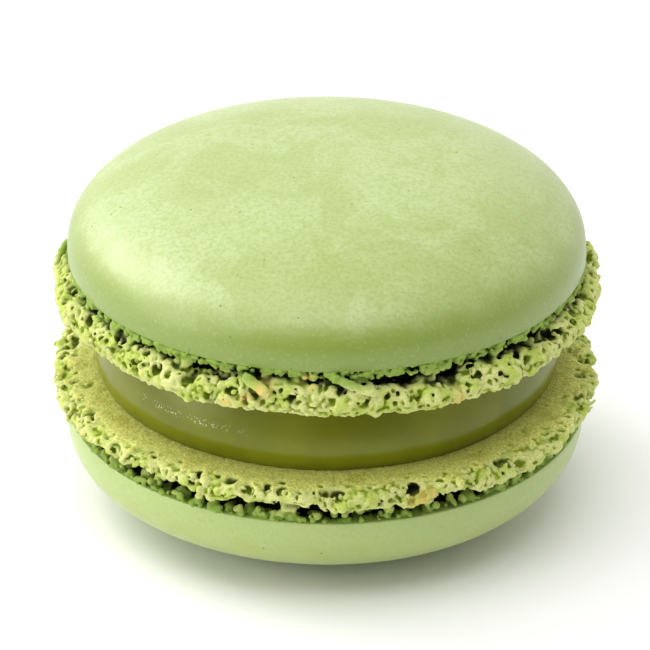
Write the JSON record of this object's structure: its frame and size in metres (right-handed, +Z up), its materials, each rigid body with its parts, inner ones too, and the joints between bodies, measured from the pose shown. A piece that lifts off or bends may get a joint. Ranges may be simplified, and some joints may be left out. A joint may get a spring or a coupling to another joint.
{
  "type": "french macaron",
  "caption": "Round filled biscuit: smooth domed caps over lumpy, porous feet, sandwiching a thick disc of smooth cream.",
  "frame": {"origin": "on the surface the macaron rests on, below the middle of the flat spot of its lower shell", "axes": "+Z up through the middle of both shells; +X to the right and -Y towards a viewer at the front"},
  "size_m": [0.0446, 0.0448, 0.0293],
  "materials": {
    "baked_shell": "baked almond meringue: smooth matt skin with a faint sheen on the caps, open pale crumb on the feet",
    "green_cream": "dense olive-green cream, smooth and softly glossy at the side"
  },
  "bodies": {
    "root": {"upper_shell": "baked_shell", "filling": "green_cream", "lower_shell": "baked_shell"}
  },
  "joints": []
}
